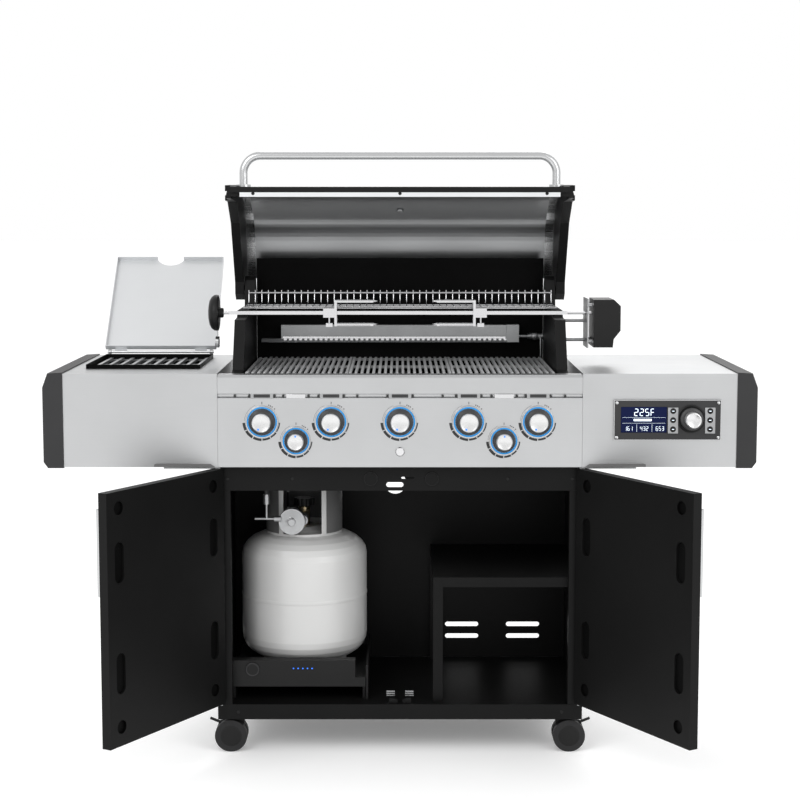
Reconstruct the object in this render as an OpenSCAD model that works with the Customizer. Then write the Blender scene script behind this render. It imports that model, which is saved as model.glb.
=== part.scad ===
// Gas barbecue grill on a two-door cabinet, with its lid, doors and side burner open.
// Millimetres, +Z up, the control panel faces -Y. Depths inside the modules are measured
// back from the face of the control panel; in_frame() moves them to the part's own frame.

/* [Overall] */
// Width over the two shelf end caps
overall_w = 1640; // [1600:1:1700]
// Height of the shelf tops above the floor
shelf_z = 900; // [890:1:905]
// Front-to-back depth of the side shelves
shelf_depth = 520; // [500:1:540]

/* [Cabinet] */
// Width of the cabinet
cabinet_w = 856; // [846:1:860]
// Front-to-back depth of the cabinet
cabinet_depth = 455; // [450:1:460]
// Underside of the cabinet's base frame
base_z = 81; // [80:1:84]
// Height of the base frame
base_h = 36; // [30:1:40]
// Thickness of sheet parts
sheet = 2; // [1.5:0.5:2.5]
// Angle that the doors stand open in the rest pose
door_open = 120; // [90:1:125]
// Width of one door
door_w = 416; // [400:1:418]

/* [Oven] */
// Width of the control panel
panel_w = 838; // [830:1:842]
// Lower edge of the control panel
panel_z = 684; // [680:1:690]
// Half of the inside width of the firebox
fire_x = 364; // [355:1:366]
// Height of the spit axis
spit_z = 1027; // [1020:1:1030]
// Depth of the spit axis
spit_d = 215; // [200:1:230]
// Number of bars in one cooking grate
grate_bars = 18; // [9:1:18]

/* [Burner controls] */
// Radius of the large knobs' skirts
knob_r = 30; // [26:1:31]
// Radius of the small knobs' skirts
small_knob_r = 26; // [22:1:27]
// How far the knobs stand out
knob_len = 32; // [26:1:36]

/* [Gas cylinder] */
// Outside radius of the cylinder
tank_r = 152.5; // [150:0.5:155]
// Height of the cylinder's top centre
tank_top_z = 508; // [500:1:515]

/* [Hidden] */
$fn = 64;

half_w = overall_w / 2;
cap_w = 46;
panel_top = shelf_z - 3;
groove_z = panel_top - 53;
cabinet_top = panel_z - 1;
floor_z = base_z + base_h;
door_z = floor_z + 6;
door_h = cabinet_top - 4 - door_z;
door_t = 22;
hinge_x = cabinet_w / 2 - 7;
hinge_d = door_t / 2;
cabinet_d = door_t + 3;
cabinet_back = cabinet_d + cabinet_depth;
wheel_r = 38;
wheel_x = 399;
swivel_x = 377;
caster_d = [58, 430];
knob_x = [-317, -158, 0, 158, 317];
small_x = [-239, 239];
knob_z = 789;
small_z = 745;
pivot = [460, 1075];
tank_x = -234;
tank_d = 240;
lid_half = 393;
grate_z = 898;
burner_x = [-292, -146, 0, 146, 292];
side_x0 = -745;
side_x1 = -468;
side_d0 = 122;
side_d1 = 435;
dial_x = 668;
dial_z = 797;
side_lean = 44;
side_lid_len = 325;
side_hinge = [side_d1 + 10, shelf_z + 14];

// Routes of the two hoses: cylinder to manifold, and manifold to side burner.
hose_d = 130;
hose_supply = [[-318, 130, 600.3], [-318, 130, 614], [-319, 128, 628], [-322, 120, 644], [-327, 106, 658],
               [-333, 86, 669], [-338, 66, 676], [-342, 48, 682], [-344, 37, 693], [-345, 31.5, 708],
               [-345, 31, 726], [-345, 31, 742], [-345, 31, 758.7]];
hose_side = [[-606.5, 278.5, 759.7], [-606, 278, 742], [-602, 268, 722], [-590, 248, 702], [-578, 230, 686],
             [-560, 210, 675], [-538, 190, 669], [-514, 170, 668], [-490, 150, 674], [-470, 130, 686],
             [-455, 106, 702], [-445, 82, 720], [-436, 60, 738], [-426, 43, 754], [-410, 33, 765],
             [-390.4, 31, 767]];

// The frame's origin stands on the floor midway between the open doors' edges and the side lid's.
front_most = hinge_d - door_w * sin(door_open) - door_t / 2 * abs(cos(door_open));
back_most = side_hinge[0] + side_lid_len * cos(side_lean) + 2 * sin(side_lean);
depth_mid = (front_most + back_most) / 2;

// Moves the depths used here to the part's own frame.
module in_frame() {
    translate([0, -depth_mid, 0]) children();
}

// A box given by its lowest and highest corners.
module block(low, high) {
    translate(low) cube(high - low);
}

// A profile in depth and height, extruded along X between two places.
module side_profile(points, x0, x1) {
    translate([x0, 0, 0]) rotate([90, 0, 90]) linear_extrude(x1 - x0) polygon(points);
}

// A round bar along X, along Y (away from the front) and along Z.
module bar_x(x0, x1, d, z, r) {
    translate([x0, d, z]) rotate([0, 90, 0]) cylinder(h = x1 - x0, r = r);
}

module bar_y(x, d0, d1, z, r) {
    translate([x, d0, z]) rotate([-90, 0, 0]) cylinder(h = d1 - d0, r = r);
}

module bar_z(x, d, z0, z1, r) {
    translate([x, d, z0]) cylinder(h = z1 - z0, r = r);
}

// A slot with round ends, standing upright and cut along Y.
module slot_y(x, z, w, h, d0, d1) {
    flat = abs(h - w);
    tall = h > w;
    r = min(w, h) / 2;
    for (s = [-0.5, 0.5])
        bar_y(x + (tall ? 0 : s * flat), d0, d1, z + (tall ? s * flat : 0), r);
    if (tall) block([x - r, d0, z - flat / 2], [x + r, d1, z + flat / 2]);
    if (!tall) block([x - flat / 2, d0, z - r], [x + flat / 2, d1, z + r]);
}

// ---------- cabinet ----------

// The welded base with its floor, its caster bores and the doors' two catch plates.
module base_frame() color("#262626") in_frame() {
    x = cabinet_w / 2;
    for (catch_x = [-16, 16])
        block([catch_x - 10, cabinet_d + 10, floor_z - 1], [catch_x + 10, cabinet_d + 22, floor_z + 9]);
    difference() {
        block([-x, cabinet_d, base_z], [x, cabinet_back, floor_z]);
        block([-x + 62, cabinet_d + 4, base_z - 1], [x - 62, cabinet_back - 4, floor_z - 4]);
        block([-x + 4, cabinet_d + 75, base_z - 1], [x - 4, cabinet_back - 85, floor_z - 4]);
        for (sx = [-1, 1])
            for (d = caster_d) bar_z(sx * swivel_x, d, base_z - 1, floor_z - 6, 6.05);
    }
}

// The two sides, each with its front post and a group of slanted vents.
module side_panels() color("#1c1c1c") in_frame() {
    for (sx = [-1, 1]) {
        x = sx * (cabinet_w / 2 - 1.5);
        difference() {
            block([x - 1.5, cabinet_d + 26, floor_z + 0.2], [x + 1.5, cabinet_back - 3.2, cabinet_top - 2]);
            for (i = [0, 1]) for (j = [0, 1])
                translate([0, 300 + 42 * i, 165 + 60 * j + 20 * i]) rotate([30, 0, 0])
                    block([x - 3, -6, -20], [x + 3, 6, 20]);
        }
        post = sx * (cabinet_w / 2 - 18);
        block([post - 16, cabinet_d + 1, floor_z + 0.2], [post + 16, cabinet_d + 25.8, cabinet_top - 58.2]);
    }
}

// The back wall, with a round hole for a hose and two pairs of vents.
module back_panel() color("#181818") in_frame() {
    x = cabinet_w / 2;
    d = cabinet_back;
    difference() {
        block([-x, d - 3, floor_z + 0.2], [x, d, cabinet_top - 2]);
        for (x = [160, 318]) for (z = [172, 203]) slot_y(x, z, 86, 12, d - 6, d + 3);
        bar_y(-12, d - 6, d + 3, 573, 28);
        block([-84, d - 6, 648], [84, d + 3, cabinet_top]);
    }
}

// The channel over the doors, with slots and two round magnets.
module front_rail() color("#232323") in_frame() {
    x = cabinet_w / 2 - 2;
    d = cabinet_d + 1;
    difference() {
        block([-x, d, cabinet_top - 58], [x, d + 24, cabinet_top - 2]);
        block([-x + 4, d + 4, cabinet_top - 56], [x - 4, d + 25, cabinet_top - 1]);
        slot_y(-12, cabinet_top - 44, 40, 12, d - 1, d + 5);
        slot_y(18, cabinet_top - 28, 30, 5, d - 1, d + 5);
    }
    for (x = [-68, 74]) bar_y(x, d - 4, d, cabinet_top - 30, 15);
}

module inner_shelf() color("#202020") in_frame() {
    x = cabinet_w / 2 - 4;
    block([78, cabinet_d + 30, 391], [x, cabinet_back - 6, 414]);
    for (d = [cabinet_d + 30, cabinet_back - 32]) block([78, d, floor_z + 0.2], [101, d + 26, 391]);
}

// Four round pins, each in its hinge ear, which the doors turn on.
module hinge_pins() color("#3a3a3a") in_frame() {
    for (sx = [-1, 1]) for (z = [door_z, door_z + door_h]) {
        up = z > 400 ? 1 : -1;
        bar_z(sx * hinge_x, hinge_d, min(z - 14 * up, z + 3.5 * up), max(z - 14 * up, z + 3.5 * up), 3);
        block([sx * hinge_x - 6, hinge_d - 6, min(z + 0.5 * up, z + 3.5 * up)],
              [sx * hinge_x + 6, cabinet_d + 0.8, max(z + 0.5 * up, z + 3.5 * up)]);
    }
}

// Stands a panel on its hinge axis, turned by angle.
module door_at(side, angle) {
    translate([side * hinge_x, hinge_d, 0]) rotate([0, 0, angle]) children();
}

// A door that runs from its pins along X, its inner face pressed with slots and holes.
module door_panel(dir) {
    front = -door_t / 2;
    x0 = min(-dir * 7, dir * door_w);
    x1 = max(-dir * 7, dir * door_w);
    difference() {
        block([x0, front, door_z], [x1, -front, door_z + door_h]);
        bar_z(0, 0, door_z - 1, door_z + 15, 3.05);
        bar_z(0, 0, door_z + door_h - 15, door_z + door_h + 1, 3.05);
        for (x = [34, door_w - 40]) {
            for (z = [0.075, 0.935]) bar_y(dir * x, -front - 6, -front + 1, door_z + door_h * z, 15);
            for (z = [0.287, 0.722]) slot_y(dir * x, door_z + door_h * z, 30, 90, -front - 6, -front + 1);
        }
    }
}

module door_left() color("#1b1b1b") in_frame() door_at(-1, -door_open) door_panel(1);
module door_right() color("#1b1b1b") in_frame() door_at(1, door_open) door_panel(-1);

// An upright bar handle on the outside face of a door.
module door_handle(dir) {
    x = dir * (door_w - 42);
    bar_z(x, -door_t / 2 - 32, 445, 635, 7);
    for (z = [462, 618]) bar_y(x, -door_t / 2 - 32, -door_t / 2 - 0.1, z, 5);
}

module door_handle_left() color("silver") in_frame() door_at(-1, -door_open) door_handle(1);
module door_handle_right() color("silver") in_frame() door_at(1, door_open) door_handle(-1);

// ---------- casters ----------

// The middle body of a twin-wheel caster, with its hood and the stem that it swivels on.
module caster_fork(side, d) {
    difference() {
        union() {
            bar_y(side * wheel_x, d - 6, d + 6, wheel_r, 31);
            block([min(side * swivel_x, side * wheel_x) - 9, d - 6, 50],
                  [max(side * swivel_x, side * wheel_x) + 9, d + 6, 78]);
            bar_z(side * swivel_x, d, 77, 80.6, 15);
            bar_z(side * swivel_x, d, 80, floor_z - 8, 6);
        }
        bar_y(side * wheel_x, d - 7, d + 7, wheel_r, 5.05);
    }
}

module caster_wheel(side, d) {
    for (s = [-1, 1])
        bar_y(side * wheel_x, d + (s > 0 ? 6.5 : -24), d + (s > 0 ? 24 : -6.5), wheel_r, wheel_r);
    bar_y(side * wheel_x, d - 8, d + 8, wheel_r, 5);
}

// A foot lever that stands out from the caster's hood.
module brake_lever(side, d) {
    translate([side * (wheel_x + 27), d, wheel_r + 27]) {
        bar_y(0, -5.5, 5.5, 0, 4);
        rotate([0, -side * 22, 0]) block([min(0, side * 26), -4.5, -1.5], [max(0, side * 26), 4.5, 2.5]);
    }
}

module fork_fl() color("#222222") in_frame() caster_fork(-1, caster_d[0]);
module fork_fr() color("#222222") in_frame() caster_fork(1, caster_d[0]);
module fork_bl() color("#222222") in_frame() caster_fork(-1, caster_d[1]);
module fork_br() color("#222222") in_frame() caster_fork(1, caster_d[1]);
module wheel_fl() color("#2d2d2d") in_frame() caster_wheel(-1, caster_d[0]);
module wheel_fr() color("#2d2d2d") in_frame() caster_wheel(1, caster_d[0]);
module wheel_bl() color("#2d2d2d") in_frame() caster_wheel(-1, caster_d[1]);
module wheel_br() color("#2d2d2d") in_frame() caster_wheel(1, caster_d[1]);
module brake_left() color("#1a1a1a") in_frame() brake_lever(-1, caster_d[0]);
module brake_right() color("#1a1a1a") in_frame() brake_lever(1, caster_d[0]);

// ---------- gas cylinder ----------

// The tray that the cylinder stands on, with a scale in its front.
module tank_scale() color("#1e1e1e") in_frame() {
    block([tank_x - 164, 62, 150], [tank_x + 152, 388, 172]);
    block([tank_x - 164, 62, 172], [tank_x + 128, 92, 213]);
    for (x = [tank_x - 163, tank_x + 145]) block([x, 80, floor_z + 0.2], [x + 6, 370, 150]);
    block([tank_x + 153, 70, floor_z + 0.2], [tank_x + 158, 380, 200]);
    block([tank_x + 145, 80, floor_z + 0.2], [tank_x + 158, 370, floor_z + 4]);
    bar_y(tank_x - 115, 57, 62, 192, 13);
}

// The welded cylinder: domed body, foot ring and the collar round the valve.
module tank_body() color("#e2e2e2") in_frame() translate([tank_x, tank_d, 0]) {
    rotate_extrude() {
        polygon(concat([[0, 190]],
                       [for (a = [-90:15:0]) [tank_r - 60 + 60 * cos(a), 245 + 55 * sin(a)]],
                       [for (a = [0:15:90]) [tank_r - 85 + 85 * cos(a), 440 + 55 * sin(a)]],
                       [[40, tank_top_z], [0, tank_top_z]]));
        translate([98, 172.3]) square([4, 26]);
    }
    difference() {
        bar_z(0, 0, tank_top_z - 18, 603, 92);
        bar_z(0, 0, tank_top_z - 10, 604, 88.5);
        block([-46, -95, tank_top_z - 10], [46, -60, 604]);
        block([-60, 60, tank_top_z + 30], [60, 95, 575]);
    }
}

module tank_valve() color("#9a8f78") in_frame() translate([tank_x, tank_d, 0]) {
    bar_z(0, 0, tank_top_z + 0.1, 552, 14);
    bar_y(0, -52, 0, 533, 12);
    bar_z(0, 0, 552, 563, 5);
}

module tank_handwheel() color("#4a4a4a") in_frame() translate([tank_x, tank_d, 0]) {
    difference() {
        union() {
            bar_z(0, 0, 556, 574, 20);
            for (a = [0:60:300]) rotate([0, 0, a]) bar_z(19, 0, 556, 574, 6);
        }
        bar_z(0, 0, 555, 564, 5.06);
    }
}

module regulator() color("#b5b5b5") in_frame() {
    d = tank_d - 97;
    bar_y(tank_x - 24, d - 12, d + 10, 533, 31);
    bar_y(tank_x - 24, d - 24, d - 12, 533, 10);
    bar_y(tank_x, d + 9, tank_d - 52.2, 533, 13);
    bar_x(tank_x - 66, tank_x - 50, hose_d, 541, 7);
    bar_x(tank_x - 112, tank_x - 66, hose_d, 541, 3);
    bar_z(tank_x - 84, hose_d, 541, 576, 3);
    bar_z(tank_x - 84, hose_d, 576, 600, 8);
}

function unit(v) = v / norm(v);
function tangent(p, i) = unit(p[min(i + 1, len(p) - 1)] - p[max(i - 1, 0)]);
function across(t) = unit(cross(t, abs(t[2]) < 0.9 ? [0, 0, 1] : [0, 1, 0]));
function ring(c, t, r, n) = [for (k = [0:n - 1]) c + r * (cos(360 * k / n) * across(t)
                             + sin(360 * k / n) * cross(t, across(t)))];

module hose(route, r) {
    n = 10;
    count = len(route);
    points = [for (i = [0:count - 1]) each ring(route[i], tangent(route, i), r, n)];
    walls = [for (i = [0:count - 2]) for (k = [0:n - 1])
             [i * n + k, i * n + (k + 1) % n, (i + 1) * n + (k + 1) % n, (i + 1) * n + k]];
    ends = [[for (k = [n - 1:-1:0]) k], [for (k = [0:n - 1]) (count - 1) * n + k]];
    polyhedron(points, [for (f = concat(walls, ends)) [for (k = [len(f) - 1:-1:0]) f[k]]]);
}

module gas_hoses() color("#1d1d1d") in_frame() {
    hose(hose_supply, 6);
    hose(hose_side, 5);
}

// ---------- control panel ----------

module control_panel() color("#d3d4d6") in_frame() {
    difference() {
        union() {
            block([-panel_w / 2, 0, panel_z], [panel_w / 2, 3, groove_z]);
            side_profile([[0, groove_z], [6, groove_z + 3], [6, groove_z + 8], [0, groove_z + 10],
                          [0, panel_top - 6], [6, panel_top], [43, panel_top], [43, panel_top - 3],
                          [9, panel_top - 4], [4, panel_top - 9], [3, groove_z + 12], [9, groove_z + 10],
                          [9, groove_z + 1], [3, groove_z - 2]], -panel_w / 2, panel_w / 2);
            block([-panel_w / 2, 0, panel_z], [panel_w / 2, 24, panel_z + 3]);
        }
        for (x = knob_x) bar_y(x, -1, 5, knob_z, 7);
        for (x = small_x) bar_y(x, -1, 5, small_z, 7);
    }
    for (x = knob_x) bezel(x, knob_z, knob_r);
    for (x = small_x) bezel(x, small_z, small_knob_r);
}

// A lit ring round a knob, fixed to the panel.
module bezel(x, z, r) difference() {
    bar_y(x, -3, 0, z, r + 6);
    bar_y(x, -4, 1, z, r + 1);
}

// A burner knob: a dark skirt, a turned grip and a blind hole for the valve's stem.
module knob(x, z, r) {
    difference() {
        union() {
            bar_y(x, -10, -1, z, r);
            translate([x, -10, z]) rotate([90, 0, 0]) cylinder(h = 8, r1 = r - 1, r2 = r * 0.8);
            bar_y(x, -knob_len, -17, z, r * 0.74);
        }
        bar_y(x, -20, 0, z, 4.06);
    }
}

module knob_1() color("#cfcfcf") in_frame() knob(knob_x[0], knob_z, knob_r);
module knob_2() color("#cfcfcf") in_frame() knob(knob_x[1], knob_z, knob_r);
module knob_3() color("#cfcfcf") in_frame() knob(knob_x[2], knob_z, knob_r);
module knob_4() color("#cfcfcf") in_frame() knob(knob_x[3], knob_z, knob_r);
module knob_5() color("#cfcfcf") in_frame() knob(knob_x[4], knob_z, knob_r);
module small_knob_1() color("#cfcfcf") in_frame() knob(small_x[0], small_z, small_knob_r);
module small_knob_2() color("#cfcfcf") in_frame() knob(small_x[1], small_z, small_knob_r);

// ---------- firebox ----------

// The deep enamelled box with its ledges, its high back wall and the drip tray's rails.
module firebox_shell() color("#141414") in_frame() {
    difference() {
        block([-fire_x - 1, 45, 700], [fire_x + 1, 486, grate_z - 9.2]);
        block([-fire_x + 2, 48, 703], [fire_x - 2, 483, grate_z]);
        block([-60, 220, 699], [60, 320, 704]);
        for (x = burner_x) bar_y(x, 44, 49, 800, 13);
    }
    block([-fire_x - 1, 486, 700], [fire_x + 1, 490, 1150]);
    for (d = [47, 474]) block([-fire_x + 1, d, 882], [fire_x - 1, d + 10, grate_z - 9.2]);
    block([-fire_x + 1, 47, 827], [fire_x - 1, 79, 832.8]);
    block([-fire_x + 1, 456, 827], [fire_x - 1, 484, 832.8]);
    for (sx = [-1, 1]) {
        block([min(sx * 76, sx * 80), 190, 652], [max(sx * 76, sx * 80), 470, 701]);
        block([min(sx * 68, sx * 80), 190, 652], [max(sx * 68, sx * 80), 470, 654.6]);
    }
}

// The cast ends of the oven, with the spit's rests and the trunnions that carry the lid.
module firebox_sides() color("#191919") in_frame() {
    for (sx = [-1, 1]) {
        x0 = min(sx * (fire_x + 1.5), sx * 391);
        difference() {
            side_profile([[44, 700], [44, 896], [76, 902], [146, 1014], [206, 1016], [222, 1032],
                          [425, 1032], [438, 1096], [450, 1106], [472, 1106], [492, 1060],
                          [492, 700]], x0, x0 + 391 - fire_x - 1.5);
            bar_x(x0 - 1, x0 + 30, spit_d, spit_z, 6.6);
            block([x0 - 1, spit_d - 6.6, spit_z], [x0 + 30, spit_d + 6.6, spit_z + 30]);
        }
        bar_x(min(sx * 390, sx * 417), max(sx * 390, sx * 417), pivot[0], pivot[1], 7);
    }
}

// Three cast grates side by side.
module cooking_grates() color("#8b8d90") in_frame() {
    w = 2 * (fire_x - 4) / 3;
    pitch = (w - 8) / (grate_bars - 1);
    for (g = [-1:1]) {
        x0 = g * w - (w - 2) / 2;
        for (d = [50, 262, 476]) block([x0, d, grate_z - 9], [x0 + w - 2, d + 7, grate_z - 3]);
        for (i = [0:grate_bars - 1])
            block([x0 + i * pitch, 50, grate_z - 7], [x0 + i * pitch + 6, 483, grate_z]);
    }
}

// Folded plates that stand over the burners.
module heat_shields() color("#6f7072") in_frame() {
    for (x = burner_x) translate([x, 480, 835]) rotate([90, 0, 0]) linear_extrude(410)
        polygon([[-58, 0], [0, 36], [58, 0], [54, -2], [0, 33], [-54, -2]]);
}

// Five tube burners, their valves and stems, and the pipe that feeds them.
module burners() color("#a9a9a9") in_frame() {
    for (x = burner_x) bar_y(x, 32, 470, 800, 12);
    for (x = knob_x) {
        bar_y(x, 12, 31, knob_z, 11);
        bar_y(x, -17, 13, knob_z, 4);
    }
    for (x = small_x) {
        bar_y(x, 12, 31, small_z, 11);
        bar_y(x, -17, 13, small_z, 4);
    }
    bar_x(-390, 390, 31, 767, 8);
    for (x = knob_x) block([x - 6, 24, 767], [x + 6, 31, knob_z]);
    for (x = small_x) block([x - 6, 24, small_z], [x + 6, 31, 767]);
    for (i = [0:4])
        block([min(burner_x[i], knob_x[i]) - 3, 28, 786], [max(burner_x[i], knob_x[i]) + 3, 38, 800]);
}

// A rack of wires on three rails, with a low fence along its back edge.
module warming_rack() color("#c9cacc") in_frame() {
    for (i = [-23:23]) {
        block([i * 16.4 - 1.25, 262, 1037], [i * 16.4 + 1.25, 404, 1039.5]);
        block([i * 16.4 - 1.25, 401.5, 1037], [i * 16.4 + 1.25, 404, 1074]);
    }
    for (d = [262, 330, 398]) block([-384, d, 1033], [384, d + 6, 1037.5]);
    block([-380, 399.5, 1064], [380, 402, 1068]);
}

// A perforated burner strip on a longer lip, its end box and the pipe that feeds it.
module rear_burner() color("#a4a7aa") in_frame() {
    block([-302, 462, 944], [272, 485.8, 981]);
    side_profile([[452, 938], [462, 946], [485, 946], [485, 938]], -352, 272);
    block([271, 456, 938], [302, 485.8, 982]);
    bar_x(301, 331, 472, 952, 4);
    bar_x(330, fire_x, 472, 952, 8);
}

module drip_tray() color("#55585a") in_frame() {
    difference() {
        block([-75, 190, 655], [75, 470, 676]);
        block([-73, 192, 657], [73, 468, 677]);
    }
}

// ---------- rotisserie ----------

module spit_rod() color("#d8d8d8") in_frame() {
    block([-410, spit_d - 4.2, spit_z - 4.2], [402, spit_d + 4.2, spit_z + 4.2]);
    bar_x(-440, -409, spit_d, spit_z, 4);
    bar_x(401, 472, spit_d, spit_z, 4);
}

// A four-tine fork with a collar round the square rod, and its wing screw.
module spit_fork(x, dir) {
    difference() {
        block([x - 14, spit_d - 11, spit_z - 11], [x + 14, spit_d + 11, spit_z + 11]);
        block([x - 15, spit_d - 4.3, spit_z - 4.3], [x + 15, spit_d + 4.3, spit_z + 4.3]);
    }
    bar_z(x, spit_d, spit_z - 27, spit_z - 10, 2.5);
    block([x - 8, spit_d - 1.5, spit_z - 34], [x + 8, spit_d + 1.5, spit_z - 25]);
    x1 = x + dir * 16;
    difference() {
        block([x1 - 3, spit_d - 22, spit_z - 31], [x1 + 3, spit_d + 22, spit_z + 31]);
        block([x1 - 4, spit_d - 16, spit_z + 11], [x1 + 4, spit_d + 16, spit_z + 25]);
        block([x1 - 4, spit_d - 16, spit_z - 25], [x1 + 4, spit_d + 16, spit_z - 11]);
        block([x1 - 4, spit_d - 4.3, spit_z - 4.3], [x1 + 4, spit_d + 4.3, spit_z + 4.3]);
    }
    for (s = [-1, 1]) for (t = [-1, 1])
        block([min(x1, x1 + dir * 90), spit_d + s * 19 - 2.5, spit_z + t * 28 - 2.5],
              [max(x1, x1 + dir * 90), spit_d + s * 19 + 2.5, spit_z + t * 28 + 2.5]);
}

module spit_forks() color("#cfd0d2") in_frame() {
    spit_fork(-170, 1);
    spit_fork(194, -1);
}

// The grip on the spit's free end, and the weight that balances the food.
module spit_handle() color("#1a1a1a") in_frame() {
    difference() {
        union() {
            bar_x(-445, -435, spit_d, spit_z, 43);
            translate([-459, spit_d, spit_z]) rotate([0, 90, 0]) cylinder(h = 14, r1 = 33, r2 = 42);
            bar_x(-436, -424, spit_d, spit_z, 11);
        }
        bar_x(-442, -423, spit_d, spit_z, 4.02);
    }
    block([-440, spit_d - 4, spit_z - 66], [-437, spit_d + 4, spit_z - 40]);
    bar_x(-444, -434, spit_d, spit_z - 70, 14);
}

module motor_housing() color("#202020") in_frame() difference() {
    side = [[462, 946], [508, 946], [510, 966], [526, 986], [526, 1045], [510, 1060], [462, 1060]];
    translate([0, 290, 0]) rotate([90, 0, 0]) linear_extrude(110) polygon(side);
    bar_x(461, 476, spit_d, spit_z, 4.06);
    block([500, 225, 947], [510.5, 245, 962]);
}

// A plate on four spacers, held off the oven's side by two rods.
module motor_bracket() color("#9fa2a5") in_frame() {
    difference() {
        block([447, 184, 944], [450, 284, 1062]);
        bar_x(446, 451, spit_d, spit_z, 7);
    }
    for (z = [960, 1046]) for (d = [196, 272]) bar_x(449, 461.9, d, z, 5);
    bar_x(391.1, 448, 250, 960, 4);
    bar_x(391.1, 448, 272, 1005, 4);
}

module motor_switch() color("#c22a20") in_frame() {
    bar_y(508, 228, 242, 954.5, 5);
}

// ---------- lid ----------

// Corner points of the lid's section, set in by t from the outside face.
function lid_corner(i, t) = [[84, 1325 - t], [362 - 0.2 * t, 1330 - t], [532 - 0.75 * t, 1246 - 0.65 * t],
                             [565 - t, 1096]][i];
function mix(a, b, u) = a + (b - a) * u;
function fillet(a, b, c, reach) = [for (u = [0:0.125:1])
    mix(mix(b + unit(a - b) * reach, b, u), mix(b, b + unit(c - b) * reach, u), u)];
function lid_path(t) = concat([lid_corner(0, t)],
    fillet(lid_corner(0, t), lid_corner(1, t), lid_corner(2, t), 60 - t),
    fillet(lid_corner(1, t), lid_corner(2, t), lid_corner(3, t), 60 - t), [lid_corner(3, t)]);
function backward(p) = [for (i = [len(p) - 1:-1:0]) p[i]];

// The outer skin of the lid, bent from one sheet.
module lid_shell() color("#dcdde0") in_frame() {
    side_profile(concat(lid_path(0), backward(lid_path(2))), -lid_half, lid_half);
}

module lid_liner() color("#8f9193") in_frame() {
    side_profile(concat(lid_path(17), backward(lid_path(19))), -lid_half + 22, lid_half - 22);
    block([-lid_half + 22, 84, 1306.2], [lid_half - 22, 86.5, 1322.6]);
}

// The cast ends of the lid, each with a bore for its trunnion.
module lid_caps() color("#171717") in_frame() {
    outer = concat(lid_path(-4), [[562, 1082], [500, 1048], [452, 1046], [430, 1062], [428, 1092],
                                  [330, 1240], [250, 1292], [96, 1300]]);
    web = concat(lid_path(10), [[545, 1092], [498, 1062], [462, 1120], [352, 1248], [262, 1302]]);
    for (sx = [-1, 1]) {
        x0 = min(sx * 393.3, sx * 415);
        difference() {
            side_profile(outer, x0, x0 + 21.7);
            side_profile(web, sx > 0 ? x0 + 14 : x0 - 1, sx > 0 ? x0 + 23 : x0 + 7.7);
            bar_x(x0 - 1, x0 + 23, pivot[0], pivot[1], 7.06);
            translate([0, 190, 0]) mirror([sx > 0 ? 0 : 1, 0, 0]) rotate([90, 0, 0]) linear_extrude(120)
                polygon([[394, 1340], [420, 1340], [420, 1240], [404, 1250], [404, 1306]]);
        }
        block([min(sx * 372, sx * 393.3), 92, 1304], [max(sx * 372, sx * 393.3), 110, 1322.8]);
    }
}

// A round tube handle with swept corners, standing on the lid's front face.
module lid_handle() color("#e4e4e4") in_frame() translate([0, 150, 0]) {
    bar_x(-327, 327, 0, 1399, 9.5);
    for (sx = [-1, 1]) {
        translate([sx * 327, 0, 1359]) rotate([90, 0, 0]) mirror([sx > 0 ? 0 : 1, 0, 0])
            rotate_extrude(angle = 90) translate([40, 0]) circle(9.5);
        bar_z(sx * 367, 0, 1331, 1359, 9.5);
        bar_z(sx * 367, 0, 1326.8, 1332, 17);
    }
}

// A dial thermometer on the slope of the lid's top.
module thermometer() color("#b9bcc0") in_frame()
    translate([0, 447, 1288]) rotate([-26.3, 0, 0]) {
        translate([0, 0, 0.3]) cylinder(h = 12, r = 36);
        translate([0, 0, 12]) cylinder(h = 4, r = 30);
    }

// ---------- side shelves ----------

module side_shelf(x0, x1) {
    difference() {
        block([x0, 0, panel_z], [x1, shelf_depth, shelf_z]);
        block([x0 + sheet, sheet, panel_z - 1], [x1 - sheet, shelf_depth - sheet, shelf_z - sheet]);
        children();
    }
}

module side_shelf_left() color("#cbccce") in_frame() {
    x0 = -half_w + cap_w;
    x1 = -panel_w / 2 - 0.5;
    side_shelf(x0, x1) {
        block([side_x0, side_d0, shelf_z - 5], [side_x1, side_d1, shelf_z + 1]);
        bar_x(x1 - 5, x1 + 1, 38, 759, 12);
    }
    block([-548, 30, panel_z - 8], [-cabinet_w / 2 - 2, 60, panel_z]);
    block([-cabinet_w / 2 - 12, 1, panel_z - 1], [x1, 60, panel_z + 2]);
    for (x = [side_x0 + 6, side_x1 - 14]) difference() {
        union() {
            block([x, side_hinge[0] - 5, shelf_z - 1], [x + 8, side_hinge[0] + 5, side_hinge[1]]);
            bar_x(x, x + 8, side_hinge[0], side_hinge[1], 6);
        }
        bar_x(x - 1, x + 9, side_hinge[0], side_hinge[1], 3.56);
    }
}

module side_shelf_right() color("#cbccce") in_frame() {
    x0 = panel_w / 2 + 0.5;
    side_shelf(x0, half_w - cap_w) block([505, -1, 757], [722, 4, 825]);
    block([cabinet_w / 2 + 2, 30, panel_z - 8], [548, 60, panel_z]);
    block([x0, 1, panel_z - 1], [cabinet_w / 2 + 12, 60, panel_z + 2]);
}

// The chamfered end caps of the two side shelves.
module shelf_caps() color("#303031") in_frame() {
    for (sx = [-1, 1]) {
        outline = [[0, panel_z - 2], [36, panel_z - 2], [cap_w, panel_z + 12], [cap_w, shelf_z - 32],
                   [cap_w - 12, shelf_z + 1], [0, shelf_z + 3]];
        translate([sx * (half_w - cap_w), shelf_depth + 2, 0]) mirror([sx > 0 ? 0 : 1, 0, 0])
            rotate([90, 0, 0]) linear_extrude(shelf_depth + 5) polygon(outline);
    }
}

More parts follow.
